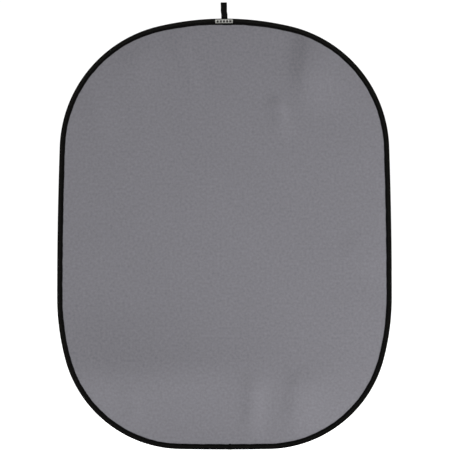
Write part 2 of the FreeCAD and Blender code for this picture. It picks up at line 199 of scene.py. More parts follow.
def makeMesh(name, points, corners, sizes, uv, material, sharp=40):
    # points (n, 3); corners: every face's vertex numbers end to end; sizes: corners per face; uv per corner
    mesh = bpy.data.meshes.new(name)
    mesh.vertices.add(len(points))
    mesh.vertices.foreach_set("co", np.ascontiguousarray(points, np.float32).ravel())
    mesh.loops.add(len(corners))
    mesh.loops.foreach_set("vertex_index", np.ascontiguousarray(corners, np.int32))
    mesh.polygons.add(len(sizes))
    starts = np.concatenate([[0], np.cumsum(sizes)[:-1]])
    mesh.polygons.foreach_set("loop_start", starts.astype(np.int32))
    mesh.polygons.foreach_set("loop_total", np.asarray(sizes, np.int32))
    mesh.polygons.foreach_set("use_smooth", np.ones(len(sizes), bool))
    layer = mesh.uv_layers.new(name="flat")
    layer.data.foreach_set("uv", np.ascontiguousarray(uv, np.float32).ravel())
    mesh.update(calc_edges=True)
    mesh.validate()
    mesh.set_sharp_from_angle(angle=math.radians(sharp))
    mesh.materials.append(material)
    piece = bpy.data.objects.new(name, mesh)
    bpy.context.scene.collection.objects.link(piece)
    return piece


def tubePart(points, uv, flip=False):
    # a grid of points (rows, columns, 3), closed round every row, as quads with a cap on each end; uv has
    # one more column, for the seam; returns (points, corners, sizes, uv) ready to be joined with others
    rows, columns = points.shape[:2]
    r, c = np.meshgrid(np.arange(rows - 1), np.arange(columns), indexing="ij")
    ring = [(r, c), (r, c + 1), (r + 1, c + 1), (r + 1, c)]
    final = np.arange(columns)
    first = final[::-1]
    if flip:
        ring, first, final = ring[::-1], final, first
    corners = np.stack([a * columns + b % columns for a, b in ring], -1).reshape(-1)
    cornerUv = np.stack([uv[a, b] for a, b in ring], -2).reshape(-1, 2)
    corners = np.concatenate([corners, first, final + (rows - 1) * columns])
    cornerUv = np.concatenate([cornerUv, uv[0, first], uv[rows - 1, final]])
    sizes = np.append(np.full((rows - 1) * columns, 4), [columns, columns])
    return points.reshape(-1, 3), corners, sizes, cornerUv


def sheetPart(face, back, flat, flip):
    # two faces as one closed thin sheet: each row runs over the face and back again behind it
    ring = np.concatenate([face, back[:, ::-1]], 1)
    uv = np.concatenate([flat, flat[:, ::-1], flat[:, :1]], 1)
    return tubePart(ring, uv, flip)


def joinParts(parts):
    # several parts as one: their lists end to end, each part's vertex numbers moved up past those before it
    points, corners, sizes, uvs = [], [], [], []
    count = 0
    for p, c, n, uv in parts:
        points.append(p)
        corners.append(c + count)
        sizes.append(n)
        uvs.append(uv)
        count += len(p)
    return np.concatenate(points), np.concatenate(corners), np.concatenate(sizes), np.concatenate(uvs)


def makePiece(name, parts, material, sharp=40):
    # a visible piece of one or more parts
    return makeMesh(name, *joinParts(parts), material, sharp)


def keepValues(piece, name, values):
    # one number for each vertex, which the material reads by its name
    attribute = piece.data.attributes.new(name, "FLOAT", "POINT")
    attribute.data.foreach_set("value", values.ravel().astype(np.float32))


def stations(start, end, step):
    # evenly spread places from start to end, as near as can be to step apart
    return np.linspace(start, end, max(2, int(round((end - start) / step)) + 1))


def pairGrid(rows, columns):
    # every row value with every column value, as pairs
    return np.stack(np.broadcast_arrays(rows[:, None], columns[None, :]), -1)


def distances(line):
    # distance along a line of points, from its first
    return np.concatenate([[0], np.cumsum(np.hypot(*np.diff(line, axis=0).T))])


def unit(vectors):
    # vectors divided by their own lengths
    return vectors / np.linalg.norm(vectors, axis=-1, keepdims=True)


def newMaterial(name):
    # a material and its Principled shader
    material = bpy.data.materials.new(name)
    material.use_nodes = True
    return material, material.node_tree.nodes["Principled BSDF"]


def isSocket(value):
    return isinstance(value, bpy.types.NodeSocket)


def feed(socket, value):
    # a socket takes another socket's value, a number or a colour
    if isSocket(value):
        socket.id_data.links.new(value, socket)
    else:
        socket.default_value = (*value, 1) if isinstance(value, tuple) else value


def maths(operation, a, b=None, clamp=False):
    # one sum on two sockets or numbers, held between nought and one where clamp is set
    tree = (a if isSocket(a) else b).id_data
    node = tree.nodes.new("ShaderNodeMath")
    node.operation = operation
    node.use_clamp = clamp
    feed(node.inputs[0], a)
    if b is not None:
        feed(node.inputs[1], b)
    return node.outputs[0]


def times(a, b):
    return maths("MULTIPLY", a, b)


def plus(a, b):
    return maths("ADD", a, b)


def less(a, b, clamp=False):
    return maths("SUBTRACT", a, b, clamp)


def absolute(a):
    return maths("ABSOLUTE", a)


def flatUv(shader):
    # the piece's own flat coordinates, in metres, together and as separate sockets
    tree = shader.id_data
    node = tree.nodes.new("ShaderNodeUVMap")
    node.uv_map = "flat"
    split = tree.nodes.new("ShaderNodeSeparateXYZ")
    tree.links.new(node.outputs[0], split.inputs[0])
    return node.outputs[0], split.outputs[0], split.outputs[1]


def attributeOf(shader, name):
    # a value kept on the piece's vertices
    node = shader.id_data.nodes.new("ShaderNodeAttribute")
    node.attribute_name = name
    return node.outputs["Fac"]


def coordinates(node, kind):
    # one of the Texture Coordinate node's outputs, in the same tree as a node
    return node.id_data.nodes.new("ShaderNodeTexCoord").outputs[kind]


def noise(vector, scale, stretch=(1, 1, 1), detail=2.0):
    # soft random cells, scale of them to the metre, drawn out along an axis whose stretch is below one
    tree = vector.id_data
    mapping = tree.nodes.new("ShaderNodeMapping")
    mapping.inputs["Scale"].default_value = stretch
    tree.links.new(vector, mapping.inputs["Vector"])
    node = tree.nodes.new("ShaderNodeTexNoise")
    node.inputs["Scale"].default_value = scale
    node.inputs["Detail"].default_value = detail
    tree.links.new(mapping.outputs[0], node.inputs["Vector"])
    return node.outputs["Fac"]


def wave(value, pitch):
    # sine of 2 pi value / pitch
    return maths("SINE", times(value, 2 * math.pi / pitch))


def ribs(value, pitch):
    # rounded ribs side by side, each pitch wide: a wave of twice that length without its sign
    return absolute(wave(value, 2 * pitch))


def plainWeave(across, along, pitch):
    # over and under: the product of two waves says which thread is on top, and each thread is itself rounded
    over = times(times(wave(across, 2 * pitch), wave(along, 2 * pitch)), 0.5)
    warp = times(ribs(across, pitch), plus(over, 0.5))
    weft = times(ribs(along, pitch), less(0.5, over))
    return maths("MAXIMUM", warp, weft)


def ramp(value, stops):
    # colours at their places between nought and one, blended in between
    tree = value.id_data
    node = tree.nodes.new("ShaderNodeValToRGB")
    elements = node.color_ramp.elements
    for k, (place, colour) in enumerate(stops):
        element = elements[k] if k < 2 else elements.new(place)
        element.position = place
        element.color = (*colour, 1)
    tree.links.new(value, node.inputs[0])
    return node.outputs[0]


def mixColour(share, a, b, kind="MIX"):
    # colour a with a share of b laid over it
    tree = next(value.id_data for value in (share, a, b) if isSocket(value))
    node = tree.nodes.new("ShaderNodeMix")
    node.data_type = "RGBA"
    node.blend_type = kind
    for socket, value in zip((node.inputs[0], node.inputs[6], node.inputs[7]), (share, a, b)):
        feed(socket, value)
    return node.outputs[2]


def spread(value, low, high, start=0.0, end=1.0, kind="LINEAR"):
    # a value from start to end, spread from low to high
    tree = value.id_data
    node = tree.nodes.new("ShaderNodeMapRange")
    node.interpolation_type = kind
    for name, number in (("From Min", start), ("From Max", end), ("To Min", low), ("To Max", high)):
        node.inputs[name].default_value = number
    tree.links.new(value, node.inputs["Value"])
    return node.outputs[0]


def dress(shader, look, colour, grain, height):
    # the colour, the grain spread over the roughness, fine relief from a height of nought to one, and the
    # look's plain values
    tree = shader.id_data
    feed(shader.inputs["Base Color"], colour)
    feed(shader.inputs["Roughness"], spread(grain, *look["rough"]))
    node = tree.nodes.new("ShaderNodeBump")
    node.inputs["Distance"].default_value, node.inputs["Strength"].default_value = look["relief"]
    feed(node.inputs["Height"], height)
    feed(shader.inputs["Normal"], node.outputs[0])
    for name, value in look["plain"].items():
        shader.inputs[name].default_value = value


clothLook = {
    "thread": 0.55 * mm,
    "dark": (0.1620, 0.1590, 0.1755),
    "light": (0.1960, 0.1925, 0.2125),
    "fade": (0.1850, 0.1815, 0.2005),
    "faded": 0.35,               # how far every thread's colour goes over to the faded one
    "slub": 900,                 # cells to the metre, as in every look below
    "mottle": 88,
    "cloud": 3.5,
    "shares": (0.10, 0.48, 0.06),    # of weave, mottle and cloud in the tone
    "tones": (0.645, 1.24),      # darkest and lightest tone, as a share of the colour
    "crease": 0.80,              # how strongly painted light and shade show on the two sides of a crease
    "lean": 0.8,                 # how much the painted shade follows the slope downwards, for one part it follows the slope towards +X
    "rough": (0.80, 0.94),
    "relief": (0.16 * mm, 0.7),
    "plain": {"Specular IOR Level": 0.25, "Sheen Weight": 0.12, "Sheen Roughness": 0.5},
}


def makeClothMaterial():
    # slubby threads give the colour, and weave, mottled dye, slow clouds and the painted light and shade on
    # folds and patches add up to the tone
    material, shader = newMaterial("greyCloth")
    uv, across, along = flatUv(shader)
    weave = plainWeave(across, along, clothLook["thread"])
    warpSlub = noise(uv, clothLook["slub"], (1, 0.03, 1), 1)     # threads that run a little thick or thin
    weftSlub = noise(uv, clothLook["slub"], (0.03, 1, 1), 1)
    slub = times(plus(warpSlub, weftSlub), 0.5)
    mottle = noise(uv, clothLook["mottle"], detail=1.5)
    cloud = noise(uv, clothLook["cloud"])
    base = ramp(slub, [(0.3, clothLook["dark"]), (0.7, clothLook["light"])])
    base = mixColour(clothLook["faded"], base, clothLook["fade"])
    # painted light and shade on the folds and patches, kept on the ply's vertices
    shade = attributeOf(shader, "lie")
    for share, value in zip(clothLook["shares"], (weave, mottle, cloud)):
        shade = plus(shade, times(value, share))
    darkest, lightest = clothLook["tones"]
    tone = ramp(shade, [(0.0, (darkest,) * 3), (0.6, (lightest,) * 3)])
    dress(shader, clothLook, mixColour(1.0, base, tone, "MULTIPLY"), mottle, plus(weave, times(slub, 0.8)))
    return material


tapeLook = {
    "rib": 0.9 * mm,
    "dark": (0.0004, 0.0004, 0.0004),
    "light": (0.0042, 0.0041, 0.0037),
    # worn colour, which also paints a highlight along the tape's middle
    "wear": (0.0105, 0.0100, 0.0085),
    "fuzz": 700,
    "patch": 45,
    "rubbed": (13 * mm, 9 * mm),     # depth of the middle of the band of wear and painted highlight, and its reach each way
    "rough": (0.66, 0.85),
    "relief": (0.2 * mm, 0.9),
    "plain": {"Specular IOR Level": 0.035, "Sheen Weight": 0.008, "Sheen Roughness": 0.4},
}


def makeTapeMaterial():
    # ribs across the tape and finer ones along it, and a band lighter from wear and from a painted highlight
    # where it stands proud: one less the square of the distance from the band's middle, where across is nought
    # at the fold and grows to the lips
    material, shader = newMaterial("blackTape")
    uv, along, across = flatUv(shader)
    weave = plus(times(ribs(along, tapeLook["rib"]), 0.75), times(ribs(across, 0.65 * tapeLook["rib"]), 0.25))
    fuzz = noise(uv, tapeLook["fuzz"], detail=3)
    patch = noise(uv, tapeLook["patch"], detail=3)
    base = ramp(times(weave, fuzz), [(0.1, tapeLook["dark"]), (0.65, tapeLook["light"])])
    middle, reach = tapeLook["rubbed"]
    depth = times(less(absolute(across), middle), 1 / reach)
    band = less(1.0, times(depth, depth), clamp=True)
    # wear and a painted highlight, mottled by patches
    wornAndHighlit = times(times(band, patch), 0.75)
    dress(shader, tapeLook, mixColour(wornAndHighlit, base, tapeLook["wear"]), fuzz, plus(weave, times(fuzz, 0.3)))
    return material


webbingLook = {
    "rib": 1.5 * mm,
    "cord": 0.775 * mm,
    "chevron": 3.1 * mm,         # how far across the ribs run before they lean the other way
    "fuzz": 600,
    "dark": (0.0004, 0.0004, 0.0004),
    "light": (0.0060, 0.0060, 0.0057),
    "rough": (0.55, 0.78),
    "relief": (0.35 * mm, 1.0),
    "plain": {"Specular IOR Level": 0.04, "Sheen Weight": 0.010},
}


def makeWebbingMaterial():
    # chevrons: ribs along the strap that lean one way and then the other across its width
    material, shader = newMaterial("blackWebbing")
    uv, along, across = flatUv(shader)
    lean = maths("PINGPONG", across, webbingLook["chevron"])
    leaning = ribs(plus(along, lean), webbingLook["rib"])
    weave = times(plus(leaning, ribs(across, webbingLook["cord"])), 0.5)
    fuzz = noise(uv, webbingLook["fuzz"], detail=3)
    base = ramp(times(weave, fuzz), [(0.12, webbingLook["dark"]), (0.6, webbingLook["light"])])
    dress(shader, webbingLook, base, fuzz, weave)
    return material


threadLook = {
    "twist": 0.5 * mm,
    "dark": (0.0030, 0.0030, 0.0028),
    "light": (0.0200, 0.0200, 0.0190),
    "rough": (0.6, 0.42),
    "relief": (0.05 * mm, 1.0),
    "plain": {"Specular IOR Level": 0.12},
}


def makeThreadMaterial():
    # plies that twist round the thread: ribs aslant to its length
    material, shader = newMaterial("blackThread")
    along, around = flatUv(shader)[1:]
    twist = ribs(plus(along, around), threadLook["twist"])
    colour = ramp(twist, [(0.2, threadLook["dark"]), (0.9, threadLook["light"])])
    dress(shader, threadLook, colour, twist, twist)
    return material


labelLook = {
    "rib": 0.3 * mm,
    "pick": 0.45 * mm,
    "fuzz": 1500,
    "ground": (0.001, 0.001, 0.001),
    "groundLight": (0.005, 0.005, 0.005),
    "yarn": (0.40, 0.40, 0.375),
    "yarnDark": (0.25, 0.25, 0.235),
    "rough": (0.5, 0.7),
    "relief": (0.1 * mm, 0.8),
    "plain": {"Specular IOR Level": 0.10, "Sheen Weight": 0.02},
}


def makeLabelMaterial():
    # a fine weave with dark ground or light yarn on top: the figure is one where the light yarn shows
    material, shader = newMaterial("wovenLabel")
    uv, along, across = flatUv(shader)
    weave = times(plus(ribs(across, labelLook["rib"]), ribs(along, labelLook["pick"])), 0.5)
    grain = times(plus(weave, noise(uv, labelLook["fuzz"])), 0.5)
    ground = ramp(grain, [(0.2, labelLook["ground"]), (0.7, labelLook["groundLight"])])
    yarn = ramp(grain, [(0.2, labelLook["yarnDark"]), (0.7, labelLook["yarn"])])
    dress(shader, labelLook, mixColour(attributeOf(shader, "figure"), ground, yarn), grain, weave)
    return material


steelLook = {
    "tempered": ((0.16, 0.19, 0.26), (0.33, 0.29, 0.22)),    # the hoop, from blue to straw
    "plainSteel": ((0.50, 0.50, 0.50), (0.62, 0.61, 0.60)),
    "grain": 900,
    "temper": 9,
    "rough": (0.25, 0.48),
    "relief": (0.02 * mm, 0.6),
    "plain": {"Metallic": 1.0},
}


def makeSteelMaterial(name, colours, onUv):
    # steel drawn lengthwise, and its colour changing slowly from place to place
    material, shader = newMaterial(name)
    vector = flatUv(shader)[0] if onUv else coordinates(shader, "Object")
    grain = noise(vector, steelLook["grain"], (0.03, 1, 1))
    temper = noise(vector, steelLook["temper"])
    dress(shader, steelLook, ramp(temper, list(zip((0.35, 0.7), colours))), grain, grain)
    return material


wrapLook = {
    "dark": (0.010, 0.010, 0.011),
    "light": (0.022, 0.022, 0.023),
    "ripple": 220,
    "rough": (0.38, 0.55),
    "relief": (0.15 * mm, 0.6),
    "plain": {},
}


def makeWrapMaterial():
    # shrunk tube, rippled round it
    material, shader = newMaterial("shrinkWrap")
    ripple = noise(coordinates(shader, "Object"), wrapLook["ripple"], (0.3, 1, 1), 3)
    colour = ramp(ripple, [(0.3, wrapLook["dark"]), (0.75, wrapLook["light"])])
    dress(shader, wrapLook, colour, ripple, ripple)
    return material


clothMaterial = makeClothMaterial()
tapeMaterial = makeTapeMaterial()
webbingMaterial = makeWebbingMaterial()
threadMaterial = makeThreadMaterial()
labelMaterial = makeLabelMaterial()
hoopMaterial = makeSteelMaterial("springSteel", steelLook["tempered"], onUv=True)
steelMaterial = makeSteelMaterial("plainSteel", steelLook["plainSteel"], onUv=False)
wrapMaterial = makeWrapMaterial()
print("materials made")


tape = {
    "depth": 25.0 * mm,          # outer fold to inner edge
    "wall": 0.7 * mm,
    "half": 5.2 * mm,            # half thickness over the hoop
    "cap": 2.6 * mm,             # depth over which the fold rounds off
    "square": 3.5,               # how square the fold is over the flat hoop
    "flatTo": 4.4 * mm,          # straight part beside the hoop
    "taperTo": 12.6 * mm,
    "lipHalf": 1.42 * mm,
    "slit": 0.5 * mm,
    "rows": (13.6 * mm, 20.9 * mm),   # stitch rows, from the outer fold
    "groove": (0.2 * mm, 0.7 * mm),   # how deep and how wide each row of stitches pulls the tape in
    "pillow": 0.16 * mm,         # how far it stands up again between the rows
    "step": 2.6 * mm,
    "ripple": 0.16 * mm,
    "pucker": 0.34 * mm,
    "wander": 0.4 * mm,
    "deeper": ((2.8 * mm, 0.3), (2.6 * mm, 0.05)),   # how much and how far, over the top and under the label
    "behind": 0.8,               # the rear face's ripple, as a share of the front's
}


def tapeHalf(u):
    # half thickness of the folded tape at depth u: full over the hoop, a smooth taper, then a thin lip with a
    # groove along each stitch row and a slight pillow between the rows
    first, second = tape["rows"]
    taper = smooth((u - tape["flatTo"]) / (tape["taperTo"] - tape["flatTo"]))
    half = tape["half"] + (tape["lipHalf"] - tape["half"]) * taper
    between = np.clip((u - first) / (second - first), 0, 1)
    half = half + tape["pillow"] * np.sin(np.pi * between)
    deep, wide = tape["groove"]
    for row in tape["rows"]:
        half = half - deep * np.exp(-((u - row) / wide) ** 2)
    return half


def waveOf(s, length, turn=0.0):
    # sine of 2 pi s / length, turned on by an angle
    return np.sin(2 * np.pi * s / length + turn)


def edgeWander(s, u):
    # the tape's inner edge isn't quite even: bells that make it deeper over the top and under the label,
    # and two slow waves, growing from nothing at the end of the taper to the full amount at the edge
    fromTop = np.minimum(np.mod(s, rimLength), rimLength - np.mod(s, rimLength))
    amount = tape["wander"] * (waveOf(s, 137 * mm, 2 * waveOf(s, 710 * mm)) + 0.6 * waveOf(s, 53 * mm))
    for deeper, reach in tape["deeper"]:
        amount = amount + deeper * np.exp(-(fromTop / reach) ** 2)
    return amount * smooth((u - tape["taperTo"]) / (tape["depth"] - tape["taperTo"]))


def tapeRipple(s, u, side):
    # small waves along the tape, stronger on the turns of the rim, where the inner edge is gathered, and none
    # over the hoop: a sum of three waves of unlike lengths, times how far in from the hoop the point lies
    normal = rimPoint(s)[1]
    turning = 2 * np.abs(normal[..., 0] * normal[..., 1])
    waves = (waveOf(s, 17.3 * mm, 1.3 * waveOf(s, 91 * mm)) + 0.7 * waveOf(s, 11.1 * mm, 2.0)
             + 0.5 * waveOf(s, 43 * mm))
    amount = (tape["ripple"] + (tape["pucker"] - tape["ripple"]) * turning) * 0.4
    held = smooth((u - tape["rows"][1] + 2 * mm) / (2 * mm))
    inward = smooth((u - tape["flatTo"]) / (9 * mm)) * (1 - 0.75 * held)
    return amount * waves * inward * np.where(side < 0, 1, tape["behind"])


def tapePoint(s, u, side):
    # a point on the tape's outer surface: s round the rim, u in from the fold, side -1 in front and 1 behind
    return inFrom(s, u + edgeWander(s, u), side * (tapeHalf(u) + tapeRipple(s, u, side)))


def foldCurve(phi, half, deep, start=0.0):
    # a squared quarter turn from the fold to the face, as (depth, half thickness): a superellipse
    power = 2 / tape["square"]
    return start + (deep - start) * (1 - np.cos(phi) ** power), half * np.sin(phi) ** power


def tapeProfile():
    # half of the closed section as (depth, half thickness): outer face, lip, and the inner face back again
    phi = np.linspace(0, np.pi / 2, 8)
    capU, capH = foldCurve(phi, tape["half"], tape["cap"])
    first, second = tape["rows"]
    runU = np.concatenate([
        np.linspace(tape["cap"], tape["taperTo"], 9)[1:],
        first + np.array([-0.6, 0, 0.6, 1.4]) * mm, [(first + second) / 2],
        second + np.array([-1.4, -0.6, 0, 0.6, 1.4]) * mm, [tape["depth"] - 0.25 * mm],
    ])
    lipU = [tape["depth"], tape["depth"], tape["depth"] - 0.2 * mm]
    lipH = [tape["lipHalf"] - 0.2 * mm, tape["slit"] + 0.25 * mm, tape["slit"]]
    backU = np.linspace(tape["depth"] - 2 * mm, tape["flatTo"], 8)
    backH = np.maximum(tapeHalf(backU) - tape["wall"], tape["slit"])
    innerU, innerH = foldCurve(phi[::-1], tape["half"] - tape["wall"], tape["cap"], tape["wall"])
    return (np.concatenate([capU, runU, lipU, backU, innerU]),
            np.concatenate([capH, tapeHalf(runU), lipH, backH, innerH]))


def fromFold(around):
    # places round a closed section, made negative past half way, so that both faces count up from the fold
    return np.where(around > around[-1] / 2, around - around[-1], around)


def makeBinding(k):
    # the tape's closed section swept along the rim: depth runs inwards, and half thickness along Y
    halfU, halfH = tapeProfile()
    # front half from the fold to the cavity, then the rear half back again, with both ends in common
    depth = np.concatenate([halfU, halfU[-2:0:-1]])
    side = np.concatenate([-np.ones(len(halfU)), np.ones(len(halfU) - 2)])
    half = np.concatenate([halfH, halfH[-2:0:-1]])
    section = np.stack([depth, side * half], -1)
    around = fromFold(distances(np.concatenate([section, section[:1]])))
    parts = []
    for start, end in rimSpans(k):
        s = stations(start, end, tape["step"])
        y = side * (half + tapeRipple(s[:, None], depth, side))
        grid = inFrom(s[:, None], depth + edgeWander(s[:, None], depth), y)
        parts.append(tubePart(grid, pairGrid(s, around)))
    return makePiece(f"edge_tape_{portions[k]}", parts, tapeMaterial, 50)


hoopSize = {
    "inset": 2.25 * mm,
    "thick": 1.2 * mm,
    "wide": 7 * mm,
    "round": 0.3 * mm,
    "gap": 0.6 * mm,             # between its two ends
    "joint": 25 * mm,            # +X of the middle of the bottom
    "step": 6 * mm,
}


def makeHoop(k):
    # a flat spring-steel band with eased edges: its section is a rounded rectangle, thin across the rim
    radius, wide, thick = hoopSize["round"], hoopSize["wide"] / 2, hoopSize["thick"] / 2
    turn = np.linspace(0, np.pi / 2, 4)
    depth, across = [], []
    for quarter, (a, b) in enumerate([(1, 1), (-1, 1), (-1, -1), (1, -1)]):
        angle = turn + quarter * np.pi / 2
        depth.append(a * (thick - radius) + radius * np.cos(angle))
        across.append(b * (wide - radius) + radius * np.sin(angle))
    depth = hoopSize["inset"] + thick + np.concatenate(depth)
    across = np.concatenate(across)
    around = np.linspace(0, 2 * (hoopSize["wide"] + hoopSize["thick"]), len(depth) + 1)
    spans = rimSpans(k)
    if k == len(cutPlaces):
        split = rimLength / 2 - hoopSize["joint"]
        start, end = spans[0]
        spans = [(start, split - hoopSize["gap"] / 2), (split + hoopSize["gap"] / 2, end)]
    parts = []
    for start, end in spans:
        s = stations(start, end, hoopSize["step"])
        parts.append(tubePart(inFrom(s[:, None], depth[None, :], across), pairGrid(s, around)))
    return makePiece(f"hoop_band_{portions[k]}", parts, hoopMaterial, 30)


cloth = {
    "inset": 9.5 * mm,           # outline to the cloth's cut edge
    "thick": 0.45 * mm,
    "clear": 0.02 * mm,          # each ply from the middle, under the tape
    "pole": 0.4 * mm,            # half width of the first and last row
    "columns": 220,
    "rowStep": 6 * mm,
    "capRows": 96,
    "swell": 0.9 * mm,
    "wave": 1.0 * mm,
    "pucker": 0.34 * mm,
    "puckerReach": 26 * mm,
    "rearMirror": -0.8,          # where the rear ply's folds and patches lie, as a share of the front's x
    # soft folds left by storage: from (x, z), to (x, z), half width, how far it stands out in millimetres,
    # and how many times wider its far flank is, on the right of a fold that is followed downwards
    "folds": [
        ((0.392, -0.12), (0.372, -0.50), 0.062, 8.0, 2.2),
        ((0.225, -0.44), (0.310, -0.62), 0.040, 3.6, 0.7),
        ((-0.225, -0.17), (-0.080, -0.48), 0.034, 1.8, 1.0),
        ((-0.690, -0.28), (-0.500, -0.68), 0.045, 3.0, 1.6),
        ((-0.500, -0.10), (-0.330, -0.42), 0.060, 2.8, 1.4),
        ((-0.900, -1.690), (0.560, -1.715), 0.110, 5.4, 1.0),
        ((0.325, -1.70), (0.335, -2.02), 0.050, 4.6, 2.0),
        ((0.122, -1.72), (0.128, -2.02), 0.040, 3.4, 1.3),
        ((-0.450, -1.76), (-0.390, -1.95), 0.035, 1.8, 1.0),
        ((0.560, -1.10), (0.760, -1.22), 0.060, 2.0, 1.0),
    ],
    # patches of painted light and shade: (x, z) of the middle, reach both ways, how much lighter
    "stroked": [
        ((0.10, -1.90), (0.72, 0.17), 0.050),
        ((0.46, -1.84), (0.20, 0.16), 0.040),
        ((0.165, -1.86), (0.035, 0.13), 0.045),
        ((-0.52, -1.50), (0.42, 0.15), -0.060),
        ((-0.05, -0.10), (0.50, 0.16), -0.035),
        ((0.345, -0.28), (0.050, 0.20), -0.040),
        ((-0.45, -0.19), (0.090, 0.08), -0.030),
        ((0.265, -0.50), (0.035, 0.06), 0.040),
        ((-0.10, -0.95), (0.45, 0.40), 0.012),
    ],
}


def clothHalfWidth(z):
    # half width of the cloth at height z, read off the inset outline
    point, normal = rimPoint(fine)
    edge = point - cloth["inset"] * normal
    return np.interp(-z, -edge[:, 1], edge[:, 0])


def foldHeight(x, z, side):
    # sum of soft ridges: a bell across each fold's line, wider on its far flank, times a smooth rise and fall
    total = np.zeros(x.shape)
    for (x0, z0), (x1, z1), wide, tall, far in cloth["folds"]:
        if side > 0:                 # the rear ply has the same sort of folds, elsewhere
            x0, x1 = cloth["rearMirror"] * x0 - 0.05, cloth["rearMirror"] * x1 + 0.03
            z0, z1 = z0 * 0.9 - 0.10, z1 * 0.9 - 0.12
        length = math.hypot(x1 - x0, z1 - z0)
        alongX, alongZ = (x1 - x0) / length, (z1 - z0) / length
        t = ((x - x0) * alongX + (z - z0) * alongZ) / length
        d = (x - x0) * alongZ - (z - z0) * alongX
        d = d + 0.12 * wide * np.sin(7 * t + 3 * x0)
        d = np.where(d * np.sign(alongZ) > 0, d / far, d)
        bell = np.exp(-(d / wide) ** 2) * smooth(t / 0.35 + 0.5) * smooth((1 - t) / 0.6 + 0.1)
        total = total + tall * mm * bell
    return total


def clothOut(x, z, side):
    # how far a ply stands off the middle: nothing under the tape, then a slight swell with long soft waves
    # and folds, and short gathers that run in from the tape and die away
    gap, place = edgeDistance(x, z)
    inner = np.maximum(gap - tape["depth"], 0)
    free = 1 - np.exp(-(inner / (70 * mm)) ** 2)
    phase = 0.0 if side < 0 else 1.9
    quarter = np.pi / 2
    waves = (waveOf(x * 0.9 + z * 0.35, 0.83, phase) * waveOf(z, 1.27, 0.6 + phase + quarter)
             + 0.45 * waveOf(x * 0.3 - z, 0.49, 2.1 + phase)
             + 0.25 * waveOf(x + 0.6 * z, 0.31, phase + quarter))
    gathers = waveOf(place, 38 * mm, 1.5 * waveOf(place, 230 * mm)) + 0.6 * waveOf(place, 23 * mm, phase)
    dying = np.exp(-inner / cloth["puckerReach"]) * smooth(inner / (5 * mm))
    return (cloth["clear"] + cloth["swell"] * (1 - np.exp(-(inner / (30 * mm)) ** 2))
            + cloth["wave"] * 0.5 * (1 + 0.6 * waves) * free + foldHeight(x, z, side) * free
            + cloth["pucker"] * 0.5 * (1 + 0.6 * gathers) * dying)


def paintedClothShade(x, z, side):
    # painted light and shade: a crease is painted lighter on the flank that faces down and towards +X and
    # darker on the other, from the slope of the folds along that way, and a bell in both directions for each
    # patch of painted light or shade
    nudge = 2 * mm
    slopeX = foldHeight(x + nudge, z, side) - foldHeight(x - nudge, z, side)
    slopeZ = foldHeight(x, z + nudge, side) - foldHeight(x, z - nudge, side)
    # painted shade: lighter where a fold faces down and towards +X, darker where it faces up and away
    lie = clothLook["crease"] * (clothLook["lean"] * slopeZ - slopeX) / (2 * nudge)
    turned = 1 if side < 0 else cloth["rearMirror"]
    # each patch is painted light where its amount is above nought and painted shade where it is below
    for (middleX, middleZ), (reachX, reachZ), amount in cloth["stroked"]:
        lie = lie + amount * np.exp(-((x - turned * middleX) / reachX) ** 2 - ((z - middleZ) / reachZ) ** 2)
    return lie


def clothRows(k):
    # heights of the rows of length k; next to the top and bottom they crowd together as the edge turns level
    edge = [rimTop - cloth["inset"]] + cutLevels + [rimFoot + cloth["inset"]]
    high, low = edge[k], edge[k + 1]
    turn = np.linspace(0, 1, cloth["capRows"]) * np.pi / 2
    if k == 0:
        return high - (high - low) * (1 - np.cos(turn))
    if k == len(cutLevels):
        return high - (high - low) * np.sin(turn)
    return np.linspace(high, low, int(round((high - low) / cloth["rowStep"])) + 1)


def makeCloth(k, side, name):
    # columns crowd towards both edges, as the sine of an even spread; a closed thin ply, outer and inner face
    z = clothRows(k)
    reach = 0.94 * np.pi / 2
    columns = np.sin(np.linspace(-reach, reach, cloth["columns"])) / math.sin(reach)
    half = np.maximum(clothHalfWidth(z), cloth["pole"])
    x = half[:, None] * columns[None, :]
    zz = np.broadcast_to(z[:, None], x.shape)
    out = clothOut(x, zz, side)
    outer = np.stack([x, side * (out + cloth["thick"]), zz], -1)
    inner = np.stack([x, side * out, zz], -1)
    part = sheetPart(outer, inner, np.stack([x, zz], -1), flip=side > 0)
    piece = makePiece(f"{name}_{portions[k]}", [part], clothMaterial, 40)
    # painted light and shade for this ply, from its folds' slopes and the painted patches
    lie = paintedClothShade(x, zz, side)
    keepValues(piece, "lie", np.concatenate([lie, lie[:, ::-1]], 1))
    return piece


stitch = {
    "pitch": 4.2 * mm,
    "long": 3.5 * mm,
    "radius": 0.24 * mm,
    "sink": 0.16 * mm,
    "uneven": (0.07 * mm, 0.03),     # in depth, and in length as a share of it
}


def stitchParts(middles, along, out, length, radius, sink):
    # each stitch is a short tube from needle hole to needle hole: it rises out of one hole, lies on the
    # surface and dips into the next, so its line stands off by sink times a low arch, and its ends taper
    t = np.linspace(-1, 1, 6)
    a = np.linspace(0, 2 * np.pi, 7)[:-1]
    across = np.cross(along, out)
    arch = radius * 0.55 - sink * 2.2 * t ** 4
    wide = radius * np.sqrt(np.clip(1 - 0.82 * t ** 6, 0.05, 1))
    centre = (middles[:, None, :] + along[:, None, :] * (t[None, :, None] * length[:, None, None] / 2)
              + out[:, None, :] * arch[None, :, None])
    ring = (across[:, None, None, :] * np.cos(a)[None, None, :, None]
            + out[:, None, None, :] * np.sin(a)[None, None, :, None]) * wide[None, :, None, None]
    grid = centre[:, :, None, :] + ring                     # (stitches, along, around, 3)
    count = len(grid)
    uv = pairGrid(t * stitch["long"] / 2, np.linspace(0, 1.5 * mm, len(a) + 1))
    points, corners, sizes, uvs = tubePart(grid[0], uv)
    corners = (corners[None, :] + np.arange(count)[:, None] * len(points)).reshape(-1)
    return [(grid.reshape(-1, 3), corners, np.tile(sizes, count), np.tile(uvs, (count, 1)))]


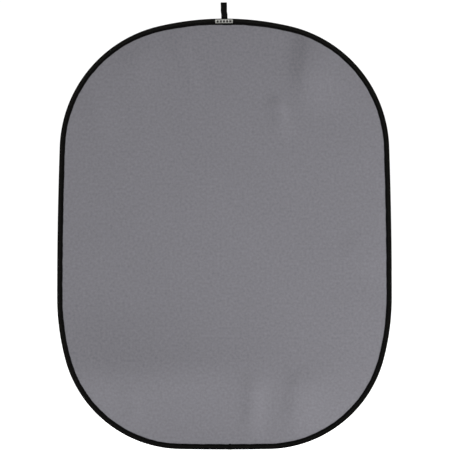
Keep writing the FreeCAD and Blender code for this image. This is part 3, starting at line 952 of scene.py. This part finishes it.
def sew(surface, places, way, side, length, radius, sink, nudge=0.3 * mm):
    # stitches at places (n, 2) on a surface, each lying the way given: the way along and the way out come
    # from small steps over the surface itself, and side says whether out is to the front or the back
    def slope(turned):
        shift = np.multiply(turned, nudge)
        return surface(*(places + shift).T) - surface(*(places - shift).T)

    along = unit(slope(way))
    out = unit(np.cross(along, slope((-way[1], way[0]))))
    out *= np.sign(out[:, 1:2]) * side
    return stitchParts(surface(*places.T), along, out, length, radius, sink)


def sewRun(surface, start, end, spacing, side, length, radius, sink):
    # a straight run of even stitches from start to end, as near as can be to spacing apart
    start, end = np.array(start), np.array(end)
    span = np.linalg.norm(end - start)
    count = int(round(span / spacing))
    places = start + (end - start) * ((np.arange(count) + 0.5) / count)[:, None]
    return sew(surface, places, (end - start) / span, side, np.full(count, length), radius, sink)


def rowOfStitches(s, u, side, surface, seed):
    # stitches at places s along the rim and depth u, a little uneven in both
    rng = np.random.default_rng(seed)
    offLine, offLength = stitch["uneven"]
    u = u + rng.normal(0, offLine, s.shape)
    length = stitch["long"] * (1 + rng.normal(0, offLength, s.shape))
    return sew(lambda a, b: surface(a, b, side), np.stack([s, u], -1), (1, 0), side, length,
               stitch["radius"], stitch["sink"], nudge=0.4 * mm)


def makeBindingStitches(k):
    # both rows on both faces, one stitch to every pitch of the way round, so that rows in two lengths line up
    parts = []
    for start, end in rimSpans(k):
        first = math.ceil(start / stitch["pitch"] - 0.5)
        last = math.floor(end / stitch["pitch"] - 0.5)
        s = (np.arange(first, last + 1) + 0.5) * stitch["pitch"]
        s = s[(s > start + stitch["long"] * 0.1) & (s < end - stitch["long"] * 0.1)]
        for number, row in enumerate(tape["rows"]):
            for side in (-1, 1):
                seed = 1000 + 40 * k + 4 * number + side + (500 if start > 0 else 0)
                parts += rowOfStitches(s, row, side, tapePoint, seed)
    return makePiece(f"binding_stitches_{portions[k]}", parts, threadMaterial, 60)


for k in range(len(bends)):
    nodes = [portions[k]] + ([portions[k + 1]] if k == len(bends) - 1 else [])
    layers = [
        (makeCloth(k, -1, "front_ply"), "grey_cloth", [f"front_cloth_{n}" for n in nodes]),
        (makeCloth(k, 1, "rear_ply"), "grey_cloth", [f"rear_cloth_{n}" for n in nodes]),
        (makeHoop(k), "spring_steel", [f"hoop_{n}" for n in nodes]),
        (makeBinding(k), "black_tape", [f"binding_{n}" for n in nodes]),
        (makeBindingStitches(k), "black_thread", []),
    ]
    for piece, slot, replaced in layers:
        crossBend(piece)
        if replaced:
            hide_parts(*replaced)
    print("length", k, "made")


lap = {
    "middle": 25 * mm,           # +X of the middle of the bottom
    "long": 18 * mm,
    "proud": 3.6 * mm,           # how far its corner stands in past the tape's inner edge
    "under": 0.12 * mm,
    "wall": 0.6 * mm,
    "reach": 23.8 * mm,
    "onCloth": 0.75 * mm,        # its inner face from the middle, past the tape's edge
    "cross": 2.6 * mm,           # length of the stitches across it
    "crossRow": (6.5 * mm, 21 * mm, 3.1 * mm),       # first, last and spacing of those stitches' depths
    "crossAt": 0.38,             # and how far they lie from its middle, as a share of its length
}
lapCentre = rimLength / 2 - lap["middle"]


def lapHalf(u):
    # half thickness under the lapped end: the tape's, sinking smoothly onto the cloth past its inner edge
    over = smooth((u - lap["reach"] + 2 * mm) / (3.5 * mm))
    return tapeHalf(np.minimum(u, lap["reach"])) * (1 - over) + lap["onCloth"] * over


def lapPoint(s, u, side):
    # a point on the lapped tape end: a little gap and one wall out from what it lies on
    return inFrom(s, u, side * (lapHalf(u) + lap["under"] + lap["wall"]))


def makeLap():
    # the tape's end, folded under and lapped over its start: a U-shaped shell swept along the rim. Its
    # depth swells to a corner past the inner edge, and its two ends thin down where they are turned under
    t = np.linspace(-1, 1, 45)
    s = lapCentre + t * lap["long"] / 2
    proud = lap["proud"] * np.exp(-((t - 0.05) / 0.62) ** 4) * (1 - 0.15 * np.sin(4 * t)) - 0.5 * mm
    thin = smooth((1 - np.abs(t)) / 0.06) * 0.8 + 0.2
    phi = np.linspace(0, np.pi / 2, 10)
    share = np.linspace(0, 1, 22)[1:]
    faces = []
    for level in (lap["under"] + lap["wall"], lap["under"]):
        out = lap["under"] + (level - lap["under"]) * thin[:, None]
        capU, capH = foldCurve(phi[None, :], tape["half"] + out, tape["cap"], -out)
        runU = tape["cap"] + (lap["reach"] + proud[:, None] - tape["cap"]) * share[None, :]
        u, h = np.concatenate([capU, runU], 1), np.concatenate([capH, lapHalf(runU) + out], 1)
        faces.append((np.concatenate([u[:, ::-1], u[:, 1:]], 1), np.concatenate([-h[:, ::-1], h[:, 1:]], 1)))
    u, y = (np.concatenate([outer, inner[:, ::-1]], 1) for outer, inner in zip(*faces))
    around = np.append(distances(np.stack([u[22], y[22]], -1)), 0)
    around = np.where(around > around[-2] / 2, around[-2] - around, around) - around[-2] / 4
    part = tubePart(inFrom(s[:, None], u, y), pairGrid(s, around))
    return makePiece("binding_lap_end", [part], tapeMaterial, 50)


def makeLapStitches():
    # two rows along the lap, over the tape's own, and one across each face near the turned end
    along = lapCentre + (np.arange(4) - 1.5) * stitch["pitch"]
    across = np.arange(*lap["crossRow"])
    places = np.stack([np.full(across.shape, lapCentre - lap["crossAt"] * lap["long"]), across], -1)
    parts = []
    for number, side in enumerate((-1, 1)):
        for row in tape["rows"]:
            parts += rowOfStitches(along, row, side, lapPoint, 60 + number)
        parts += sew(lambda s, u: lapPoint(s, u, side), places, (0, 1), side,
                     np.full(across.shape, lap["cross"]), stitch["radius"], stitch["sink"])
    return makePiece("lap_stitches", parts, threadMaterial, 60)


lapEnd = makeLap()
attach(lapEnd, bodyChain[-1])
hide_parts("binding_lap")
lapStitches = makeLapStitches()
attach(lapStitches, bodyChain[-1])
print("lap made")


label = {
    "long": 81 * mm,
    "middle": -2.2 * mm,         # +X of the rim's middle
    "top": 3.6 * mm,             # depth below the rim's top
    "foot": 20.9 * mm,
    "thick": 0.45 * mm,
    "ease": 0.7 * mm,            # how far in from its edges it rounds off
    "over": 0.30 * mm,
    "tilt": 0.012,
    "pitch": 0.3 * mm,
    "wavy": (0.12 * mm, 27 * mm),     # how far its lower part lifts and falls along it, and the waves' length
    "round": 2.2 * mm,
    "blocks": 5,
    "blockPitch": 14.6 * mm,
    "blockTall": 9.9 * mm,
    "blockDrop": 0.8 * mm,       # how far the blocks lie below the label's middle
    "blockWide": (9.4 * mm, 11.0 * mm, 10.0 * mm),
    "markLine": 0.19 * mm,       # half width of the light shapes inside the blocks
    "rule": 1.5 * mm,            # edge to the fine dark rule inside it
    "ruleLine": 0.2 * mm,        # and its half width
    "blockRound": 1.0 * mm,
    "soft": 0.35 * mm,           # how far every edge of the figure blurs
    "seam": 0.8 * mm,            # edge to the stitches
    "stitch": (2.6 * mm, 2.1 * mm, 0.17 * mm, 0.12 * mm),    # spacing, length, radius and sink
}
label["tall"] = label["foot"] - label["top"]
label["middleDrop"] = (label["foot"] + label["top"]) / 2


def labelFigure(a, b):
    # one where light yarn shows: a light ground with a fine dark rule round it and a row of dark blocks,
    # whose widths repeat in threes, each with a light bar, ring or lozenge. Every edge is a soft distance test
    def soft(d):                             # one inside an edge and nought outside, over a narrow band
        return np.clip(0.5 - d / label["soft"], 0, 1)

    def roundBox(x, y, halfX, halfY, r):     # distance outside a box whose corners have radius r
        qx, qy = np.abs(x) - halfX + r, np.abs(y) - halfY + r
        return np.hypot(np.maximum(qx, 0), np.maximum(qy, 0)) + np.minimum(np.maximum(qx, qy), 0) - r

    halfLong, halfTall = label["long"] / 2 - label["rule"], label["tall"] / 2 - label["rule"]
    edge = roundBox(a, b, halfLong, halfTall, label["round"])
    figure = 1 - soft(np.abs(edge) - label["ruleLine"])
    b = b + label["blockDrop"]
    for number in range(label["blocks"]):
        x = a - (number - (label["blocks"] - 1) / 2) * label["blockPitch"]
        halfX, halfY = label["blockWide"][number % 3] / 2, label["blockTall"] / 2
        figure = figure * (1 - soft(roundBox(x, b, halfX, halfY, label["blockRound"])))
        if number % 3 == 0:
            mark = roundBox(x, b, label["markLine"], halfY * 0.5, 0.2 * mm)
        elif number % 3 == 1:
            mark = np.abs(np.hypot(x, b) - halfX * 0.5) - label["markLine"]
        else:
            mark = np.abs(np.abs(x) + np.abs(b) - halfX * 0.6) - label["markLine"]
        figure = np.maximum(figure, soft(mark))
    return figure


def labelPoint(a, b, lift=0.0):
    # a point on the label's face, laid on the tape: a along it and b down it from its middle
    depth = label["middleDrop"] + b - label["tilt"] * a
    taper = smooth((depth - tape["flatTo"]) / (tape["taperTo"] - tape["flatTo"]))
    half = tape["half"] + (tape["lipHalf"] + 0.15 * mm - tape["half"]) * taper
    high, length = label["wavy"]
    lifted = high * waveOf(a, length) * smooth((depth - 10 * mm) / (8 * mm))
    return inFrom(a + label["middle"], depth, -(half + label["over"] + lift + np.abs(lifted)))


def makeLabel():
    # a closed thin sheet laid on the front of the tape, its four edges turned down and eased
    halfLong, halfTall = label["long"] / 2, label["tall"] / 2
    a = stations(-halfLong, halfLong, label["pitch"])
    b = stations(-halfTall, halfTall, label["pitch"])
    aa, bb = np.meshgrid(a, b, indexing="ij")
    edge = np.minimum(halfLong - np.abs(aa), halfTall - np.abs(bb))
    crown = label["thick"] * (0.45 + 0.55 * np.sqrt(1 - (1 - np.clip(edge / label["ease"], 0, 1)) ** 2))
    part = sheetPart(labelPoint(aa, bb, crown), labelPoint(aa, bb), np.stack([aa, bb], -1), flip=True)
    piece = makePiece("woven_label_face", [part], labelMaterial, 50)
    figure = labelFigure(aa, -bb)
    keepValues(piece, "figure", np.concatenate([figure, np.zeros(figure.shape)], 1))
    return piece


def makeLabelStitches():
    # a row round the label, just inside its edge
    a, b = label["long"] / 2 - label["seam"], label["tall"] / 2 - label["seam"]
    corners = [(-a, -b), (a, -b), (a, b), (-a, b)]
    spacing, *size = label["stitch"]
    parts = []
    for start, end in zip(corners, corners[1:] + corners[:1]):
        parts += sewRun(lambda x, y: labelPoint(x, y, label["thick"]), start, end, spacing, -1, *size)
    return makePiece("label_stitches", parts, threadMaterial, 60)


labelFace = makeLabel()
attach(labelFace, bodyChain[0])
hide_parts("woven_label")
labelStitches = makeLabelStitches()
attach(labelStitches, bodyChain[0])
print("label made")


strap = {
    "wide": 28.6 * mm,
    "thick": 1.5 * mm,
    "loopRadius": 5.25 * mm,     # inside the top bend
    "pinch": 2.65 * mm,          # above the swing line, where the two legs part
    "seat": 0.1 * mm,
    "tailEnd": 22.4 * mm,        # depth of the tail's cut ends below the rim's top
    "step": 1.0 * mm,
    "foot": -0.3 * mm,           # where the strap stands on the rim, +X of the middle
    "drift": -2.7 * mm,          # how far its upper part stands to one side of its foot
    "driftFrom": 17 * mm,        # above the rim's top
    "driftTo": 35 * mm,
    "edgeWave": 0.25 * mm,       # how far its selvedges wave from side to side
    "seal": (0.45, 0.8 * mm),    # how much thinner its cut ends are, and over what length
}


def alongLine(t, lengths, line):
    # points at distances t along a line whose own points lie at the given lengths
    return np.stack([np.interp(t, lengths, line[:, 0]), np.interp(t, lengths, line[:, 1])], -1)


def easeLine(points, step, reach):
    # a line through points, resampled evenly and its corners eased by a bell-shaped running mean
    fineStep = 0.05 * mm
    length = distances(points)
    line = alongLine(np.arange(0, length[-1], fineStep), length, points)
    count = int(3 * reach / fineStep)
    bell = np.exp(-0.5 * (np.arange(-count, count + 1) * fineStep / reach) ** 2)
    bell /= bell.sum()
    # the ends are carried on straight, so that the mean leaves them in place
    before = line[0] + (line[0] - line[1]) * np.arange(count, 0, -1)[:, None]
    after = line[-1] + (line[-1] - line[-2]) * np.arange(1, count + 1)[:, None]
    padded = np.concatenate([before, line, after])
    eased = np.stack([np.convolve(padded[:, k], bell, "valid") for k in (0, 1)], -1)
    length = distances(eased)
    return alongLine(stations(0, length[-1], step), length, eased)


def leftOf(line):
    # unit vectors a quarter turn left of a line's heading
    heading = unit(np.gradient(line, axis=0))
    return np.stack([-heading[:, 1], heading[:, 0]], -1)


def strapLine():
    # the strap's middle line in the YZ plane, end to end: up the outer ply of the tail, up the loop's rear
    # leg, round the top bend, down the front leg and down the tail's inner ply
    ply = strap["thick"] / 2
    u = np.linspace(strap["tailEnd"], tape["cap"] + 0.6 * mm, 40)
    rise = tapeHalf(u) + strap["seat"] + 2 * ply
    rear = np.stack([np.maximum.accumulate(rise), rimTop - u], -1)
    turn = np.linspace(0, np.pi / 2, 12)
    reach = tape["cap"] + strap["seat"] + 2 * ply
    middle = tape["half"] - tape["cap"]
    over = np.stack([middle + reach * np.cos(turn), rimTop - tape["cap"] + reach * np.sin(turn)], -1)
    up = np.stack([middle - middle * np.sin(turn), over[-1, 1] + middle - middle * np.cos(turn)], -1)
    pinchLevel = swingLevel + strap["pinch"]
    tail = easeLine(np.concatenate([rear, over, up[1:], [(0, pinchLevel)]]), 0.25 * mm, 0.6 * mm)
    left = leftOf(tail)
    inner, outer = tail + left * ply, tail - left * ply
    radius = strap["loopRadius"] + ply
    t = np.linspace(0, 1, 60)
    leg = np.stack([ply + (radius - ply) * (0.45 * smooth(t) + 0.55 * np.sin(t * np.pi / 2) ** 1.5),
                    pinchLevel * (1 - t)], -1)
    bendTurn = np.linspace(0, np.pi, 60)
    top = np.stack([radius * np.cos(bendTurn), radius * np.sin(bendTurn)], -1)
    front = leg[::-1] * (-1, 1)
    whole = np.concatenate([outer, leg[1:], top[1:-1], front[:-1], inner[::-1]])
    return easeLine(whole, strap["step"], 0.9 * mm)


def strapShift(z):
    # sideways place of the strap's middle at height z: a gentle step to one side part of the way up
    return strap["foot"] + strap["drift"] * smooth((z - rimTop - strap["driftFrom"])
                                                   / (strap["driftTo"] - strap["driftFrom"]))


def makeStrap():
    # a flat band with thick selvedges and three shallow channels, carried along the strap's middle line
    line = strapLine()
    t = np.linspace(-1, 1, 25)
    half = strap["thick"] / 2 * (0.93 + 0.05 * np.cos(4 * np.pi * t)) * np.sqrt(1 - 0.85 * np.abs(t) ** 14)
    across = np.concatenate([t, t[::-1]]) * strap["wide"] / 2
    height = np.concatenate([half, -half[::-1]])
    length = distances(line)
    # the two plies of the tail draw together under the stitching, and the cut ends are sealed thin
    thinner, reach = strap["seal"]
    seal = 1 - thinner * np.exp(-np.minimum(length, length[-1] - length) / reach)
    centre = line[:, None, :] + leftOf(line)[:, None, :] * (height * seal[:, None])[..., None]
    selvedge = np.abs(across) > strap["wide"] * 0.49
    x = strapShift(line[:, 1])[:, None] + across
    x = x + strap["edgeWave"] * np.sin(length / (9 * mm))[:, None] * selvedge
    grid = np.stack([x, centre[..., 0], centre[..., 1]], -1)
    part = tubePart(grid, pairGrid(length, np.append(across, across[0])), flip=True)
    return makePiece("hanging_strap", [part], webbingMaterial, 50)


bartackSize = {
    "wide": 24 * mm,
    "tall": 1.7 * mm,
    "pitch": 0.62 * mm,
    "above": 1.7 * mm,           # the swing line to its middle
    "slant": 0.14,
    "uneven": 0.05 * mm,
    "radius": 0.34 * mm,
    "sink": 0.22 * mm,
    "off": 0.25 * mm,            # how far the stitches stand off the strap's face, and the cords under them
    "cordOff": 0.08 * mm,
    "cords": 0.45 * mm,          # above and below its middle
    "cordRadius": 0.3 * mm,
    "cordSink": 0.1 * mm,
}


def makeBartack():
    # on both faces, a dense bar of upright stitches across the loop's pinched foot, over two long threads
    middle = swingLevel + bartackSize["above"]
    wide, radius, sink = bartackSize["wide"], bartackSize["radius"], bartackSize["sink"]
    rng = np.random.default_rng(7)
    x = np.arange(-wide / 2, wide / 2, bartackSize["pitch"])
    parts = []
    for side in (-1, 1):
        y = side * (strap["thick"] + bartackSize["off"])
        z = middle + rng.normal(0, bartackSize["uneven"], x.shape)
        spots = np.stack([x + strapShift(middle), np.full(x.shape, y), z], -1)
        slant = bartackSize["slant"] * np.where(np.arange(len(x)) % 2 == 0, 1, -1)
        along = np.stack([slant, 0 * slant, np.sqrt(1 - slant ** 2)], -1)
        out = np.tile([0.0, side, 0.0], (len(x), 1))
        parts += stitchParts(spots, along, out, np.full(x.shape, bartackSize["tall"]), radius, sink)
        for level in (-bartackSize["cords"], bartackSize["cords"]):
            y = side * (strap["thick"] + bartackSize["cordOff"])
            under = np.array([[strapShift(middle), y, middle + level]])
            parts += stitchParts(under, np.array([[1.0, 0, 0]]), out[:1], np.array([wide]),
                                 bartackSize["cordRadius"], bartackSize["cordSink"])
    return makePiece("loop_bartack_stitches", parts, threadMaterial, 60)


tailSeam = {
    "low": 2.2 * mm,             # the box's lower and upper edge, up from the strap's cut end
    "high": 15.5 * mm,
    "half": 11.5 * mm,           # half its width
    "stitch": (2.3 * mm, 0.26 * mm, 0.2 * mm),       # length, radius and sink
    "spacing": 2.7 * mm,
}


def makeTailStitches():
    # a box with a cross inside, sewn through both plies of the tail on the rear of the tape
    line = strapLine()
    rearLine = line[: int(0.3 * len(line))]
    faceLine = rearLine - leftOf(rearLine) * strap["thick"] * 0.49
    length = distances(faceLine)

    def surface(x, v):                       # x across the strap, v up the tail's face from its cut end
        y, z = alongLine(v, length, faceLine).T
        return np.stack([x + strap["foot"], y, z], -1)

    low, high, half = tailSeam["low"], tailSeam["high"], tailSeam["half"]
    corners = [(-half, low), (half, low), (half, high), (-half, high)]
    parts = []
    for first, last in ((0, 1), (1, 2), (2, 3), (3, 0), (0, 2), (1, 3)):
        parts += sewRun(surface, corners[first], corners[last], tailSeam["spacing"], 1, *tailSeam["stitch"])
    return makePiece("tail_stitches", parts, threadMaterial, 60)


hangingStrap = makeStrap()
loopBody = swing["parent"] if swing["child"] == bodyChain[0] else swing["child"]
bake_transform(hangingStrap)
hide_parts("hanging_loop", "loop_tail")
bartack = makeBartack()
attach(bartack, loopBody)
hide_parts("loop_bartack")
tailStitches = makeTailStitches()
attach(tailStitches, bodyChain[0])
print("strap made")

# the hoop's joint lies inside the binding, on the frame's own nodes
for name, material in (("hoop_joint_sleeve", steelMaterial), ("hoop_joint_rivets", steelMaterial),
                       ("hoop_joint_wrap", wrapMaterial)):
    node = frame["nodes"][name]
    node.data.materials.clear()
    node.data.materials.append(material)

view = {"across": 2.0565, "right": 2.4 * mm, "drop": 0.9436, "away": 12.0, "sensor": 36.0, "clipEnd": 60}
camera = bpy.data.cameras.new("camera")
camera.sensor_width = view["sensor"]
camera.lens = view["sensor"] * view["away"] / view["across"]
camera.clip_end = view["clipEnd"]
cameraObject = bpy.data.objects.new("camera", camera)
cameraObject.location = (view["right"], -view["away"], rimTop - view["drop"])
cameraObject.rotation_euler = (math.pi / 2, 0, 0)
bpy.context.scene.collection.objects.link(cameraObject)
bpy.context.scene.camera = cameraObject

studio = {
    "behind": 1.06,              # the world's strength behind the object and on the horizon, and in front
    "front": 0.36,
    "turn": (-0.2, 0.4),         # where it changes from one to the other
    "horizon": (0.10, 0.30),
    "floorReach": 300.0,
    "floorDrop": 8 * mm,
    "floorColour": (0.93, 0.93, 0.93),
    "floorRough": 0.9,
    "nearGlow": 1.04,
    "farGlow": 0.58,
    "glow": (1.2, 3.6),          # how far off the floor's glow changes from near to far
}


def makeFloor():
    # one great square below the object
    reach, level = studio["floorReach"], rimFoot - studio["floorDrop"]
    mesh = bpy.data.meshes.new("floor")
    corners = [(x * reach, y * reach, level) for x, y in ((-1, -1), (1, -1), (1, 1), (-1, 1))]
    mesh.from_pydata(corners, [], [(0, 1, 2, 3)])
    material, shader = newMaterial("paleFloor")
    feed(shader.inputs["Base Color"], studio["floorColour"])
    feed(shader.inputs["Roughness"], studio["floorRough"])
    glowFloor(shader)
    mesh.materials.append(material)
    floor = bpy.data.objects.new("floor", mesh)
    bpy.context.scene.collection.objects.link(floor)


def glowFloor(shader):
    # the floor glows faintly, a little less far off, so that it stays white out to its far edge
    tree = shader.id_data
    flat = tree.nodes.new("ShaderNodeVectorMath")
    flat.operation = "MULTIPLY"
    flat.inputs[1].default_value = (1, 1, 0)
    away = tree.nodes.new("ShaderNodeVectorMath")
    away.operation = "LENGTH"
    tree.links.new(coordinates(shader, "Object"), flat.inputs[0])
    tree.links.new(flat.outputs[0], away.inputs[0])
    glow = spread(away.outputs["Value"], studio["nearGlow"], studio["farGlow"], *studio["glow"], "SMOOTHSTEP")
    feed(shader.inputs["Emission Strength"], glow)
    feed(shader.inputs["Emission Color"], (1, 1, 1))


def makeWorld():
    # white behind the object and all round the horizon, and dimmer high up on the side that faces it
    world = bpy.data.worlds.new("studio")
    world.use_nodes = True
    tree = world.node_tree
    background = tree.nodes["Background"]
    split = tree.nodes.new("ShaderNodeSeparateXYZ")
    tree.links.new(coordinates(background, "Generated"), split.inputs[0])
    grade = spread(split.outputs[1], studio["front"], studio["behind"], *studio["turn"], "SMOOTHSTEP")
    low = spread(split.outputs[2], studio["behind"], 0, *studio["horizon"], "SMOOTHSTEP")
    feed(background.inputs["Strength"], maths("MAXIMUM", grade, low))
    feed(background.inputs["Color"], (1, 1, 1))
    bpy.context.scene.world = world


makeFloor()
makeWorld()
bpy.context.scene.view_settings.view_transform = "Standard"

lights = [
    {"name": "key", "place": (2.4, -2.4, -1.95), "aim": (0.1, 0, -1.4), "size": 1.0, "power": 43},
    {"name": "rearFill", "place": (-2.6, 3.4, 0.2), "aim": (0, 0, -1.0), "size": 1.6, "power": 30},
]
for setting in lights:
    data = bpy.data.lights.new(setting["name"], "AREA")
    data.size = setting["size"]
    data.energy = setting["power"]
    light = bpy.data.objects.new(setting["name"], data)
    light.location = setting["place"]
    x, y, z = np.subtract(setting["aim"], setting["place"])
    light.rotation_euler = (math.atan2(math.hypot(x, y), -z), 0, math.atan2(-x, y))
    light.visible_camera = False
    bpy.context.scene.collection.objects.link(light)
print("light and camera set")
